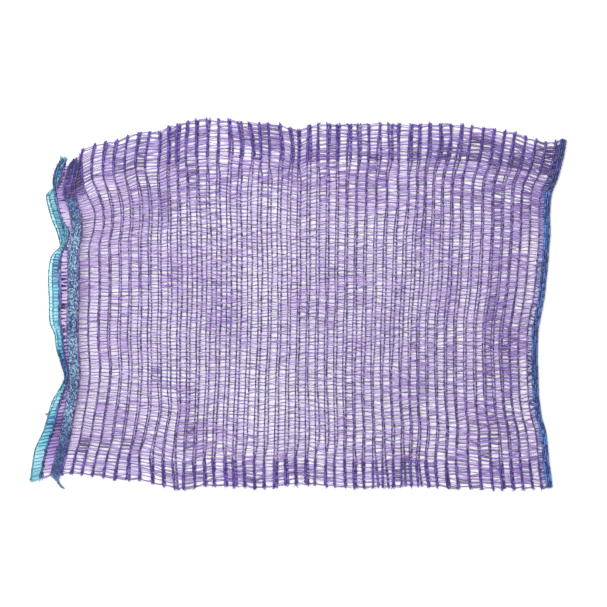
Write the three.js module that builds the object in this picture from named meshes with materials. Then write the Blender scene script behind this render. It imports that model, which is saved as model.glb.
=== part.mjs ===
// A mesh vegetable bag, laid flat and empty, as it comes off a double-bed raschel knitting machine.
// Its two layers of net are knitted together along both sides and along the bottom, so it has no sewn seam.
// At the mouth each layer ends in a firm selvedge, and a flat drawstring runs in a channel behind it.
// Millimetres, +Z up. The mouth is at -X and the bottom of the bag at +X, and the bag lies on Z = 0.
import * as THREE from "three";

// Overall reach on the table, corner to corner, and the cloth itself.
const bagLength = 600;
const bagWidth = 412;
const netThickness = 1.5;
const pieceGap = 0.3;

// How the empty bag lies: the upper layer arches over the lower one, and the loose mouth edge ruffles.
const archHeight = 11;
const archFallPower = 2.5;
const ruffleShare = 0.45;

// The strips that run from side to side.
const selvedgeWidth = 10.5;
const channelWidth = 9.5;
const drawstringWidth = 10.5;
const bottomEdgeWidth = 12;
const drawstringTail = 15;
const tailLean = 8;
const tailTipWidth = 2;
const drawstringTurnover = 12;

// The coarse net that stands for the knitted one. Its long narrow windows lie between bars, which run from side
// to side as the knitted chains do, and are cut short by ribs along the bag.
const windowColumns = 30;
const windowRows = 2;
const barWidth = 6.4;
const ribWidth = 9;
const windowCellsAlong = 1;
const windowCellsAcross = 6;
const netShareOfLength = 0.87;
const netShareOfWidth = 0.8;

// Outline tables. `height` runs from the lower side of the bag (0) to its upper side (1).
// `inset` is the share of bagLength by which the line lies in from the mouth's furthest corner.
const frontLip = [
  { height: 0.0, inset: 0.0 },
  { height: 0.06, inset: 0.005 },
  { height: 0.092, inset: 0.0085 },
  { height: 0.12, inset: 0.0165 },
  { height: 0.151, inset: 0.0262 },
  { height: 0.208, inset: 0.036 },
  { height: 0.238, inset: 0.0425 },
  { height: 0.267, inset: 0.054 },
  { height: 0.303, inset: 0.065 },
  { height: 0.345, inset: 0.0592 },
  { height: 0.412, inset: 0.0485 },
  { height: 0.444, inset: 0.047 },
  { height: 0.485, inset: 0.037 },
  { height: 0.56, inset: 0.0356 },
  { height: 0.653, inset: 0.0346 },
  { height: 0.7, inset: 0.0417 },
  { height: 0.724, inset: 0.0565 },
  { height: 0.765, inset: 0.0667 },
  { height: 0.808, inset: 0.0589 },
  { height: 0.874, inset: 0.048 },
  { height: 0.936, inset: 0.0425 },
  { height: 0.984, inset: 0.0503 },
  { height: 1.0, inset: 0.0585 },
];
const backLip = [
  { height: 0.0, inset: 0.006 },
  { height: 0.092, inset: 0.0145 },
  { height: 0.151, inset: 0.034 },
  { height: 0.208, inset: 0.044 },
  { height: 0.303, inset: 0.0645 },
  { height: 0.412, inset: 0.0545 },
  { height: 0.53, inset: 0.05 },
  { height: 0.624, inset: 0.055 },
  { height: 0.7, inset: 0.0585 },
  { height: 0.745, inset: 0.0539 },
  { height: 0.778, inset: 0.0481 },
  { height: 0.811, inset: 0.0402 },
  { height: 0.844, inset: 0.0345 },
  { height: 0.89, inset: 0.0296 },
  { height: 0.905, inset: 0.037 },
  { height: 0.92, inset: 0.0475 },
  { height: 1.0, inset: 0.0585 },
];
// The middle of the drawstring.
const stringLine = [
  { height: 0.0, inset: 0.047 },
  { height: 0.044, inset: 0.053 },
  { height: 0.075, inset: 0.0576 },
  { height: 0.105, inset: 0.063 },
  { height: 0.168, inset: 0.069 },
  { height: 0.231, inset: 0.0763 },
  { height: 0.3, inset: 0.0813 },
  { height: 0.342, inset: 0.0815 },
  { height: 0.406, inset: 0.0787 },
  { height: 0.485, inset: 0.0785 },
  { height: 0.549, inset: 0.0802 },
  { height: 0.644, inset: 0.0802 },
  { height: 0.7, inset: 0.0795 },
  { height: 0.745, inset: 0.0848 },
  { height: 0.77, inset: 0.0856 },
  { height: 0.802, inset: 0.085 },
  { height: 0.835, inset: 0.0806 },
  { height: 0.885, inset: 0.0725 },
  { height: 0.907, inset: 0.0714 },
  { height: 0.954, inset: 0.077 },
  { height: 1.0, inset: 0.083 },
];
// The bottom of the bag; here `inset` is measured back from its furthest corner.
const bottomLine = [
  { height: 0.0, inset: 0.026 },
  { height: 0.069, inset: 0.032 },
  { height: 0.162, inset: 0.038 },
  { height: 0.205, inset: 0.046 },
  { height: 0.275, inset: 0.052 },
  { height: 0.445, inset: 0.053 },
  { height: 0.503, inset: 0.047 },
  { height: 0.566, inset: 0.04 },
  { height: 0.728, inset: 0.031 },
  { height: 0.801, inset: 0.031 },
  { height: 0.858, inset: 0.027 },
  { height: 0.899, inset: 0.015 },
  { height: 0.945, inset: 0.006 },
  { height: 1.0, inset: 0.0 },
];
// The long sides. `along` is the share of bagLength from the mouth's furthest corner, and `inset` the share
// of bagWidth by which the cut edge lies in from that side's furthest point.
const upperSide = [
  { along: 0.0, inset: 0.112 },
  { along: 0.083, inset: 0.101 },
  { along: 0.128, inset: 0.068 },
  { along: 0.175, inset: 0.053 },
  { along: 0.194, inset: 0.037 },
  { along: 0.235, inset: 0.035 },
  { along: 0.259, inset: 0.02 },
  { along: 0.323, inset: 0.0 },
  { along: 0.429, inset: 0.01 },
  { along: 0.465, inset: 0.014 },
  { along: 0.494, inset: 0.028 },
  { along: 0.527, inset: 0.013 },
  { along: 0.671, inset: 0.013 },
  { along: 0.809, inset: 0.014 },
  { along: 0.893, inset: 0.034 },
  { along: 0.931, inset: 0.049 },
  { along: 0.973, inset: 0.063 },
  { along: 0.991, inset: 0.05 },
  { along: 1.0, inset: 0.053 },
];
const lowerSide = [
  { along: 0.0, inset: 0.023 },
  { along: 0.072, inset: 0.043 },
  { along: 0.132, inset: 0.033 },
  { along: 0.216, inset: 0.021 },
  { along: 0.28, inset: 0.0 },
  { along: 0.35, inset: 0.01 },
  { along: 0.44, inset: 0.003 },
  { along: 0.49, inset: 0.014 },
  { along: 0.594, inset: 0.004 },
  { along: 0.72, inset: 0.009 },
  { along: 0.84, inset: 0.001 },
  { along: 1.0, inset: 0.004 },
];
// The bands where both layers are knitted together, as shares of the bag's height at that place.
const sideBands = [
  { along: 0.03, lower: 0.076, upper: 0.056 },
  { along: 0.13, lower: 0.077, upper: 0.062 },
  { along: 0.19, lower: 0.073, upper: 0.078 },
  { along: 0.31, lower: 0.058, upper: 0.108 },
  { along: 0.5, lower: 0.06, upper: 0.092 },
  { along: 0.6, lower: 0.062, upper: 0.105 },
  { along: 0.84, lower: 0.064, upper: 0.095 },
  { along: 0.97, lower: 0.067, upper: 0.056 },
];
// Puckers of the upper layer: where each stands along the net and across it, how far it spreads each way
// as a share of the net, and its rise as a share of archHeight.
const puckers = [
  { along: 0.1, across: 0.2, spreadAlong: 0.05, spreadAcross: 0.16, rise: 0.16 },
  { along: 0.17, across: 0.72, spreadAlong: 0.06, spreadAcross: 0.14, rise: 0.2 },
  { along: 0.33, across: 0.45, spreadAlong: 0.07, spreadAcross: 0.2, rise: -0.1 },
  { along: 0.45, across: 0.86, spreadAlong: 0.035, spreadAcross: 0.13, rise: 0.22 },
  { along: 0.58, across: 0.3, spreadAlong: 0.06, spreadAcross: 0.18, rise: 0.14 },
  { along: 0.7, across: 0.62, spreadAlong: 0.05, spreadAcross: 0.2, rise: 0.2 },
  { along: 0.76, across: 0.14, spreadAlong: 0.06, spreadAcross: 0.1, rise: 0.16 },
  { along: 0.9, across: 0.4, spreadAlong: 0.045, spreadAcross: 0.22, rise: 0.22 },
];

// A smooth value between the rows of a table. `key` names the column that says where each row stands.
function between(table, key, at, column) {
  const last = table.length - 1;
  let i = 0;
  while (i < last - 1 && table[i + 1][key] < at) i++;
  const slope = (n) => {
    const a = table[Math.max(n - 1, 0)];
    const b = table[Math.min(n + 1, last)];
    return (b[column] - a[column]) / (b[key] - a[key]);
  };
  const [a, b] = [table[i], table[i + 1]];
  const span = b[key] - a[key];
  const s = THREE.MathUtils.clamp((at - a[key]) / span, 0, 1);
  const ease = s * s * (3 - 2 * s);
  const leaving = s * (1 - s) * (1 - s) * span * slope(i);
  const arriving = s * s * (1 - s) * span * slope(i + 1);
  return a[column] * (1 - ease) + b[column] * ease + leaving - arriving;
}

const mix = (a, b, s) => a + (b - a) * s;

// The lines that run from side to side, as X at a height, in order from the mouth to the bottom.
const LIP = 0;
const STRING_NEAR = 1;
const STRING_FAR = 2;
const BOTTOM_NEAR = 3;
const BOTTOM_FAR = 4;

function lineX(line, height, lip) {
  const mouthEnd = -bagLength / 2;
  if (line === LIP) return mouthEnd + bagLength * between(lip, "height", height, "inset");
  if (line <= STRING_FAR) {
    const middle = mouthEnd + bagLength * between(stringLine, "height", height, "inset");
    return middle + (line === STRING_NEAR ? -drawstringWidth : drawstringWidth) / 2;
  }
  const bottom = bagLength * (0.5 - between(bottomLine, "height", height, "inset"));
  return line === BOTTOM_FAR ? bottom : bottom - bottomEdgeWidth;
}

// X and Y of a point of the bag seen from above. `place` counts along the lines above, and may lie between two.
function planPoint(place, height, lip) {
  const line = Math.min(Math.floor(place), BOTTOM_FAR - 1);
  const x = mix(lineX(line, height, lip), lineX(line + 1, height, lip), place - line);
  const along = (x + bagLength / 2) / bagLength;
  const lowerY = bagWidth * (between(lowerSide, "along", along, "inset") - 0.5);
  const upperY = bagWidth * (0.5 - between(upperSide, "along", along, "inset"));
  return { x, y: mix(lowerY, upperY, height), tall: upperY - lowerY };
}

// Where those lines cross the bag's long axis, as shares of its length.
const lineShares = [0.03, 0.066, 0.086, 0.945, 0.97];

// The heights at which the open part of the bag begins and ends, at a place along it.
function openHeights(place) {
  const line = Math.min(Math.floor(place), BOTTOM_FAR - 1);
  const along = mix(lineShares[line], lineShares[line + 1], place - line);
  return {
    low: between(sideBands, "along", along, "lower"),
    high: 1 - between(sideBands, "along", along, "upper"),
  };
}

// How far the underside of the upper layer lies above the table.
function frontUnderside(place, across, height) {
  const seat = netThickness + pieceGap;
  const inside = THREE.MathUtils.clamp(across, 0, 1);
  const arch = 4 * inside * (1 - inside);
  const alongNet = Math.max(place - STRING_FAR, 0);
  const fall = 1 - Math.min(alongNet, 1) ** archFallPower;
  let z = seat + archHeight * arch * fall;
  for (const p of puckers) {
    const a = (alongNet - p.along) / p.spreadAlong;
    const c = (inside - p.across) / p.spreadAcross;
    z += archHeight * p.rise * Math.exp(-a * a - c * c) * Math.sqrt(arch) * fall;
  }
  if (place < STRING_NEAR) {
    const plan = lineX(STRING_NEAR, height, frontLip) - lineX(LIP, height, frontLip);
    const loose = Math.max((selvedgeWidth + channelWidth) ** 2 - plan * plan, 0);
    z += ruffleShare * Math.sqrt(loose) * (STRING_NEAR - place) * Math.sqrt(arch);
  }
  return z;
}

// The upper and the lower layer of net differ in their lip and in how they lie.
const front = { lip: frontLip, underside: frontUnderside };
const back = { lip: backLip, underside: () => 0 };

// A point of a layer: `across` runs from 0 at the lower band to 1 at the upper one.
function layerPoint(layer, place, across, shift = 0) {
  const open = openHeights(place);
  const rough = planPoint(place, mix(open.low, open.high, across), layer.lip);
  const edge = pieceGap / rough.tall;
  const height = mix(open.low + edge, open.high - edge, across);
  const plan = planPoint(place, height, layer.lip);
  return { x: plan.x + shift, y: plan.y, z: layer.underside(place, across, height) };
}

// A closed solid of cloth from a grid of points on its underside and on its top side.
// Cells that `isOpen` names are cut through.
function clothSolid(columns, rows, point, isOpen = () => false) {
  const positions = [];
  for (const side of [0, 1])
    for (let j = 0; j <= rows; j++)
      for (let i = 0; i <= columns; i++) {
        const p = point(i, j, side);
        positions.push(p.x, p.y, p.z);
      }
  const at = (i, j, side) => (side * (rows + 1) + j) * (columns + 1) + i;
  const faces = [];
  const quad = (a, b, c, d) => faces.push(a, b, c, a, c, d);
  const isCloth = (i, j) => i >= 0 && j >= 0 && i < columns && j < rows && !isOpen(i, j);
  for (let j = 0; j < rows; j++)
    for (let i = 0; i < columns; i++) {
      if (!isCloth(i, j)) continue;
      const ring = [[i, j], [i + 1, j], [i + 1, j + 1], [i, j + 1]];
      quad(...ring.map(([a, b]) => at(a, b, 1)));
      quad(...ring.map(([a, b]) => at(a, b, 0)).reverse());
      const beyond = [[i, j - 1], [i + 1, j], [i, j + 1], [i - 1, j]];
      beyond.forEach(([a, b], n) => {
        if (isCloth(a, b)) return;
        const [p, q] = [ring[n], ring[(n + 1) % ring.length]];
        quad(at(...p, 0), at(...q, 0), at(...q, 1), at(...p, 1));
      });
    }
  const geometry = new THREE.BufferGeometry();
  geometry.setAttribute("position", new THREE.Float32BufferAttribute(positions, 3));
  geometry.setIndex(faces);
  geometry.computeVertexNormals();
  return geometry;
}

// Where the bars or ribs and the windows of the coarse net fall: shares from 0 to 1, with the window cells marked.
function ribStations(count, rib, length, cells) {
  const window = (length - rib * (count + 1)) / count;
  const stations = [0];
  const opens = [];
  const step = (size, isOpen) => {
    stations.push(stations.at(-1) + size / length);
    opens.push(isOpen);
  };
  step(rib, false);
  for (let n = 0; n < count; n++) {
    for (let k = 0; k < cells; k++) step(window / cells, true);
    step(rib, false);
  }
  return { stations, opens };
}

const alongNet = ribStations(windowColumns, barWidth, bagLength * netShareOfLength, windowCellsAlong);
const acrossNet = ribStations(windowRows, ribWidth, bagWidth * netShareOfWidth, windowCellsAcross);
const acrossRows = acrossNet.stations;

// A layer's net, from the drawstring to the bottom edge, pierced by its windows.
function netPanel(layer) {
  const columns = alongNet.stations.length - 1;
  return clothSolid(
    columns,
    acrossRows.length - 1,
    (i, j, side) => {
      const place = mix(STRING_FAR, BOTTOM_NEAR, alongNet.stations[i]);
      const shift = mix(pieceGap, -pieceGap, alongNet.stations[i]);
      const p = layerPoint(layer, place, acrossRows[j], shift);
      return { ...p, z: p.z + side * netThickness };
    },
    (i, j) => alongNet.opens[i] && acrossNet.opens[j],
  );
}

// A strip of a layer that runs from band to band, between two places, clear of its neighbours.
function crossStrip(layer, fromPlace, toPlace) {
  return clothSolid(1, acrossRows.length - 1, (i, j, side) => {
    const place = i ? toPlace : fromPlace;
    const isOuter = place === LIP || place === STRING_NEAR + 1;
    const clear = place === LIP ? 0 : (i ? -1 : 1) * (pieceGap / 2);
    const p = layerPoint(layer, place, acrossRows[j], isOuter ? Math.min(clear, 0) : clear);
    return { ...p, z: p.z + side * netThickness };
  });
}

// The drawstring's end that sticks out past the lower side tapers in this many steps to a cut tip.
const tailSteps = 3;
// The share of the bag's height in which the turned-over end rises to its double thickness.
const turnRise = 0.001;

// The upper layer's drawstring: it crosses both side bands in a groove, ends in a tail at the lower side,
// and is turned over on itself at the upper side.
function frontDrawstring() {
  const rows = [];
  for (let k = tailSteps; k > 0; k--) rows.push({ tail: k / tailSteps, height: 0 });
  rows.push({ height: 0 });
  for (const across of acrossRows) rows.push({ across });
  const turned = 1 - drawstringTurnover / planPoint(STRING_NEAR, 1, frontLip).tall;
  rows.push({ height: turned - turnRise }, { height: turned, isDouble: true }, { height: 1, isDouble: true });
  return clothSolid(1, rows.length - 1, (i, j, side) => {
    const row = rows[j];
    const place = i ? STRING_FAR : STRING_NEAR;
    if (row.across !== undefined) {
      const p = layerPoint(front, place, row.across);
      return { ...p, z: p.z + side * netThickness };
    }
    const plan = planPoint(place, row.height, frontLip);
    const thickness = row.isDouble ? 2 * netThickness : netThickness;
    const seat = netThickness + pieceGap;
    if (!row.tail) return { x: plan.x, y: plan.y, z: seat + side * thickness };
    const middle = planPoint((STRING_NEAR + STRING_FAR) / 2, 0, frontLip);
    const half = mix(drawstringWidth, tailTipWidth, row.tail) / 2;
    return {
      x: middle.x + tailLean * row.tail + (i ? half : -half),
      y: middle.y - drawstringTail * row.tail,
      z: mix(seat, 0, row.tail) + side * thickness,
    };
  });
}

// A side band, where both layers are one doubled cloth. `isUpper` says on which side of the bag.
// Its top has a groove that the drawstring lies in.
function sideBand(isUpper) {
  const doubled = 2 * netThickness + pieceGap;
  const columns = [
    { place: LIP, top: doubled },
    { place: (LIP + STRING_NEAR) / 2, top: doubled },
    { place: STRING_NEAR, shift: -2 * pieceGap, top: doubled },
    { place: STRING_NEAR, shift: -pieceGap, top: netThickness },
    { place: STRING_FAR, shift: pieceGap, top: netThickness },
    { place: STRING_FAR, shift: 2 * pieceGap, top: doubled },
  ];
  for (const share of alongNet.stations.slice(1))
    columns.push({
      place: mix(STRING_FAR, BOTTOM_NEAR, share),
      shift: share === alongNet.stations.at(-1) ? -pieceGap : 0,
      top: doubled,
    });
  return clothSolid(columns.length - 1, 1, (i, j, side) => {
    const { place, shift = 0, top } = columns[i];
    const open = openHeights(place);
    const heights = isUpper ? [open.high, 1] : [0, open.low];
    const plan = planPoint(place, heights[j], frontLip);
    return { x: plan.x + shift, y: plan.y, z: side * top };
  });
}

// The joined edge at the bottom of the bag, from side to side.
function bottomEdge() {
  const low = openHeights(BOTTOM_NEAR).low;
  const high = openHeights(BOTTOM_NEAR).high;
  const heights = [0, ...acrossRows.map((across) => mix(low, high, across)), 1];
  return clothSolid(1, heights.length - 1, (i, j, side) => {
    const plan = planPoint(i ? BOTTOM_FAR : BOTTOM_NEAR, heights[j], frontLip);
    return { x: plan.x, y: plan.y, z: side * (2 * netThickness + pieceGap) };
  });
}

const cloth = (color) => new THREE.MeshStandardMaterial({ color, roughness: 0.55, metalness: 0 });
const violetNet = cloth("#7d5fb0");
const doubledNet = cloth("#55398a");
const cyanSelvedge = cloth("#4fc3dc");
const blueEdge = cloth("#3f5fae");
const tealTape = cloth("#3f7393");

const bag = new THREE.Group();

function addPiece(name, geometry, material) {
  const mesh = new THREE.Mesh(geometry, material);
  mesh.name = name;
  bag.add(mesh);
}

const selvedgeEnd = selvedgeWidth / (selvedgeWidth + channelWidth);
for (const [layerName, layer] of Object.entries({ front, back })) {
  addPiece(`${layerName}_net`, netPanel(layer), violetNet);
  addPiece(`${layerName}_channel_strip`, crossStrip(layer, selvedgeEnd, STRING_NEAR), violetNet);
  addPiece(`${layerName}_selvedge`, crossStrip(layer, LIP, selvedgeEnd), cyanSelvedge);
}
addPiece("front_drawstring", frontDrawstring(), tealTape);
addPiece("back_drawstring", crossStrip(back, STRING_NEAR, STRING_FAR), tealTape);
addPiece("upper_side_band", sideBand(true), doubledNet);
addPiece("lower_side_band", sideBand(false), doubledNet);
addPiece("bottom_edge", bottomEdge(), blueEdge);

export default bag;
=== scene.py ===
import math

import bmesh
import bpy
import numpy as np
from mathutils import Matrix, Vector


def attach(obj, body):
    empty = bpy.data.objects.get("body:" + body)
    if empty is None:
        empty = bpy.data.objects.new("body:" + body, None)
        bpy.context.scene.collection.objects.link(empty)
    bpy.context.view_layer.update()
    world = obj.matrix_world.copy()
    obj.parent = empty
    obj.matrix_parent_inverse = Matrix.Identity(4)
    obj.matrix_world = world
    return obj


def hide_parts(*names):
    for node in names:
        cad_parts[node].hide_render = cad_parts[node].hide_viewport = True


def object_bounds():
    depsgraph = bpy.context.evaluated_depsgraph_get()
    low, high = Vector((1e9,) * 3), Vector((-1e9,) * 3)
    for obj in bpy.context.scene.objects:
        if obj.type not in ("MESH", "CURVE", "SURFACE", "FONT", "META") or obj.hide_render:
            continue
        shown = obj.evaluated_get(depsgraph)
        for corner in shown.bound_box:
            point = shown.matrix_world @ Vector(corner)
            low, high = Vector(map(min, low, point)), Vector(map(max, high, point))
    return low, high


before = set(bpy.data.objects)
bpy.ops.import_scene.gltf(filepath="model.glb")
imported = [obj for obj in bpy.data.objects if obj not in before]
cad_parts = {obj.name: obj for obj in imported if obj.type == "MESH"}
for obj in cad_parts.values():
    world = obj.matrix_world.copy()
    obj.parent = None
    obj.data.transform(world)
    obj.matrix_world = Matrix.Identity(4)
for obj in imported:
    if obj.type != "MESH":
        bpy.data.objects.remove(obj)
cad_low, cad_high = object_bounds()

# The table and the light.
# The bag lies on a white table under a broad, even, white light, and the camera looks straight down on it.
CAMERA_HEIGHT = 6.0
PICTURE_WIDTH = 0.680
PICTURE_CENTRE = (0.0056, 0.0011)
SENSOR_WIDTH_MM = 36.0
TABLE_SIZE = 8.0
TABLE_DROP = 0.0002
SKY_STRENGTH = 0.95
LAMP_POWER = 32.0
LAMP_SIZE = 1.6
LAMP_PLACE = (-0.7, 0.8, 1.8)
LAMP_TURN = (math.radians(-24), math.radians(-21), 0)


def linear(hex_colour):
    """An sRGB hex colour as linear RGBA."""
    channels = [int(hex_colour[i : i + 2], 16) / 255 for i in (1, 3, 5)]
    return [c / 12.92 if c <= 0.04045 else ((c + 0.055) / 1.055) ** 2.4 for c in channels] + [1.0]


def node(tree, kind, settings=None, links=None):
    """Adds a node, with settings for its attributes or its sockets, and links into its sockets."""
    made = tree.nodes.new(kind)
    for name, value in (settings or {}).items():
        if isinstance(name, str) and hasattr(made, name):
            setattr(made, name, value)
        else:
            made.inputs[name].default_value = value
    for name, source in (links or {}).items():
        tree.links.new(source, made.inputs[name])
    return made


def new_material(name):
    """An empty material and its node tree."""
    material = bpy.data.materials.new(name)
    material.use_nodes = True
    material.node_tree.nodes.clear()
    return material, material.node_tree


def shown(name, mesh):
    """A new object in the scene, at the origin."""
    made = bpy.data.objects.new(name, mesh)
    bpy.context.scene.collection.objects.link(made)
    return made


def painted_table():
    """White paint: matt, so it gives no gleam and shows only soft shadows."""
    material, tree = new_material("white painted table")
    surface = node(tree, "ShaderNodeBsdfPrincipled", {"Base Color": linear("#f8f8f8"), "Roughness": 0.9})
    node(tree, "ShaderNodeOutputMaterial", links={"Surface": surface.outputs[0]})
    return material


table_shape = bmesh.new()
bmesh.ops.create_grid(table_shape, x_segments=1, y_segments=1, size=TABLE_SIZE / 2)
bmesh.ops.translate(table_shape, verts=table_shape.verts, vec=(0, 0, -TABLE_DROP))
table_mesh = bpy.data.meshes.new("table")
table_shape.to_mesh(table_mesh)
table_shape.free()
table_mesh.materials.append(painted_table())
shown("table", table_mesh)

camera_data = bpy.data.cameras.new("camera")
camera_data.sensor_width = SENSOR_WIDTH_MM
camera_data.lens = camera_data.sensor_width * CAMERA_HEIGHT / PICTURE_WIDTH
camera = shown("camera", camera_data)
camera.location = (*PICTURE_CENTRE, CAMERA_HEIGHT)
bpy.context.scene.camera = camera

sky = bpy.data.worlds.new("studio")
bpy.context.scene.world = sky
sky.use_nodes = True
sky.node_tree.nodes["Background"].inputs["Color"].default_value = (1.0, 1.0, 1.0, 1.0)
sky.node_tree.nodes["Background"].inputs["Strength"].default_value = SKY_STRENGTH
lamp_data = bpy.data.lights.new("soft box", "AREA")
lamp_data.energy = LAMP_POWER
lamp_data.size = LAMP_SIZE
lamp = shown("soft box", lamp_data)
lamp.location = LAMP_PLACE
lamp.rotation_euler = LAMP_TURN
bpy.context.scene.view_settings.view_transform = "Standard"

# How the bag lies.
# The bag is flat and empty. Its two layers share these outlines, so every knitted piece below takes its
# place from them: shares of the bag's length or width, at shares of its height or its length.
BAG_LENGTH = cad_high.x - cad_low.x
BAG_WIDTH = cad_high.y - cad_low.y
CLOTH = 0.0015
CLEARANCE = 0.0003
ARCH_HEIGHT = 0.011
ARCH_FALL = 2.5
RUFFLE_SHARE = 0.45
STRING_WIDTH = 0.0105
LOOSE_EDGE_WIDTH = 0.020
BOTTOM_EDGE_WIDTH = 0.012
FRONT_LIP = [
    (0.0, 0.0), (0.06, 0.005), (0.092, 0.0085), (0.12, 0.0165), (0.151, 0.0262), (0.208, 0.036),
    (0.238, 0.0425), (0.267, 0.054), (0.303, 0.065), (0.345, 0.0592), (0.412, 0.0485), (0.444, 0.047),
    (0.485, 0.037), (0.56, 0.0356), (0.653, 0.0346), (0.7, 0.0417), (0.724, 0.0565), (0.765, 0.0667),
    (0.808, 0.0589), (0.874, 0.048), (0.936, 0.0425), (0.984, 0.0503), (1.0, 0.0585),
]
BACK_LIP = [
    (0.0, 0.006), (0.092, 0.0145), (0.151, 0.034), (0.208, 0.044), (0.303, 0.0645), (0.412, 0.0545),
    (0.53, 0.05), (0.624, 0.055), (0.7, 0.0585), (0.745, 0.0539), (0.778, 0.0481), (0.811, 0.0402),
    (0.844, 0.0345), (0.89, 0.0296), (0.905, 0.037), (0.92, 0.0475), (1.0, 0.0585),
]
STRING_LINE = [
    (0.0, 0.047), (0.044, 0.053), (0.075, 0.0576), (0.105, 0.063), (0.168, 0.069), (0.231, 0.0763),
    (0.3, 0.0813), (0.342, 0.0815), (0.406, 0.0787), (0.485, 0.0785), (0.549, 0.0802), (0.644, 0.0802),
    (0.7, 0.0795), (0.745, 0.0848), (0.77, 0.0856), (0.802, 0.085), (0.835, 0.0806), (0.885, 0.0725),
    (0.907, 0.0714), (0.954, 0.077), (1.0, 0.083),
]
BOTTOM_LINE = [
    (0.0, 0.026), (0.069, 0.032), (0.162, 0.038), (0.205, 0.046), (0.275, 0.052), (0.445, 0.053),
    (0.503, 0.047), (0.566, 0.04), (0.728, 0.031), (0.801, 0.031), (0.858, 0.027), (0.899, 0.015),
    (0.945, 0.006), (1.0, 0.0),
]
UPPER_SIDE = [
    (0.0, 0.112), (0.083, 0.101), (0.128, 0.068), (0.175, 0.053), (0.194, 0.037), (0.235, 0.035),
    (0.259, 0.02), (0.323, 0.0), (0.429, 0.01), (0.465, 0.014), (0.494, 0.028), (0.527, 0.013),
    (0.671, 0.013), (0.809, 0.014), (0.893, 0.034), (0.931, 0.049), (0.973, 0.063), (0.991, 0.05),
    (1.0, 0.053),
]
LOWER_SIDE = [
    (0.0, 0.023), (0.072, 0.043), (0.132, 0.033), (0.216, 0.021), (0.28, 0.0), (0.35, 0.01), (0.44, 0.003),
    (0.49, 0.014), (0.594, 0.004), (0.72, 0.009), (0.84, 0.001), (1.0, 0.004),
]
# Puckers: where along the net and across it, spread each way, and rise as a share of the arch.
PUCKERS = [
    (0.1, 0.2, 0.05, 0.16, 0.16), (0.17, 0.72, 0.06, 0.14, 0.2), (0.33, 0.45, 0.07, 0.2, -0.1),
    (0.45, 0.86, 0.035, 0.13, 0.22), (0.58, 0.3, 0.06, 0.18, 0.14), (0.7, 0.62, 0.05, 0.2, 0.2),
    (0.76, 0.14, 0.06, 0.1, 0.16), (0.9, 0.4, 0.045, 0.22, 0.22),
]
# Gathers, where the chains are drawn sideways, in metres: X and Y of the middle, spread each way, and shift.
GATHERS = [
    (-0.231, 0.173, 0.048, 0.030, -0.0068), (-0.232, 0.100, 0.014, 0.022, 0.0034),
    (-0.240, 0.172, 0.014, 0.030, -0.0036), (-0.154, 0.175, 0.010, 0.022, 0.0024),
    (-0.130, 0.175, 0.012, 0.022, -0.0022), (-0.064, 0.175, 0.022, 0.028, 0.0058),
    (-0.014, 0.175, 0.013, 0.026, 0.0046), (0.120, 0.125, 0.026, 0.038, 0.0042),
    (0.160, 0.178, 0.014, 0.022, 0.0026), (0.237, 0.175, 0.016, 0.024, -0.0018),
    (0.235, -0.050, 0.022, 0.030, -0.0028), (-0.071, -0.163, 0.090, 0.082, -0.0046),
    (0.164, -0.186, 0.050, 0.050, -0.0062), (-0.215, -0.185, 0.030, 0.030, -0.0026),
    (0.066, -0.190, 0.020, 0.040, -0.0020), (-0.152, -0.118, 0.030, 0.020, 0.0036),
    (-0.162, -0.168, 0.030, 0.020, -0.0026),
]
SEAM_LOW = 7
SEAM_HIGH = 90
COURSES = 100
NET_COLUMNS = 47
rng = np.random.default_rng(11)


def ease(share):
    """0 to 1, smooth at both ends."""
    share = np.clip(share, 0, 1)
    return share * share * (3 - 2 * share)


def nearness(x, y, at_x, at_y, spread_x, spread_y):
    """1 at a point, falling off smoothly over the spread each way."""
    return np.exp(-(((x - at_x) / spread_x) ** 2) - ((y - at_y) / spread_y) ** 2)


def follow(table, at):
    """A smooth curve through the rows of a table, read at each value of `at`."""
    stations, values = np.array(table).T
    ahead = np.minimum(np.arange(len(stations)) + 1, len(stations) - 1)
    behind = np.maximum(np.arange(len(stations)) - 1, 0)
    slopes = (values[ahead] - values[behind]) / (stations[ahead] - stations[behind])
    i = np.clip(np.searchsorted(stations, at) - 1, 0, len(stations) - 2)
    span = stations[i + 1] - stations[i]
    s = np.clip((at - stations[i]) / span, 0, 1)
    bend = s * (1 - s) * span * ((1 - s) * slopes[i] - s * slopes[i + 1])
    return values[i] + (values[i + 1] - values[i]) * ease(s) + bend


# The courses run straight along the middle of the bag, and take up the bends of its sides only towards them.
STRAIGHT_LOW = -0.196
STRAIGHT_HIGH = 0.197
BEND_SHARE = 0.42


def side_ys(x):
    """Where the bag's lower and upper sides lie at X."""
    along = x / BAG_LENGTH + 0.5
    return BAG_WIDTH * (follow(LOWER_SIDE, along) - 0.5), BAG_WIDTH * (0.5 - follow(UPPER_SIDE, along))


def course_height(x, course):
    """The share of the bag's height at which a course lies."""
    low, high = side_ys(x)
    share = course / COURSES
    near_low = ease((BEND_SHARE - share) / BEND_SHARE)
    near_high = ease((share - 1 + BEND_SHARE) / BEND_SHARE)
    y = STRAIGHT_LOW + (STRAIGHT_HIGH - STRAIGHT_LOW) * share
    y += (low - STRAIGHT_LOW) * near_low + (high - STRAIGHT_HIGH) * near_high
    return (y - low) / (high - low)


# The net's chains stand unevenly: how far from even spacing, at shares of the net's length. They follow the
# drawstring's bends only close to it, and the bottom's over the further half.
NET_START = -0.2467
NET_END = 0.2627
NET_SPREAD = [
    (0.0, 0.0), (0.1, 0.0016), (0.2, 0.0023), (0.3, 0.003), (0.4, 0.0056), (0.5, 0.006), (0.6, 0.0048),
    (0.7, 0.0038), (0.76, 0.0016), (0.82, 0.0014), (0.9, 0.003), (1.0, 0.0),
]
STRING_REACH = 0.28
BOTTOM_REACH = 0.58
BOTTOM_FADE = 1.3


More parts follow.
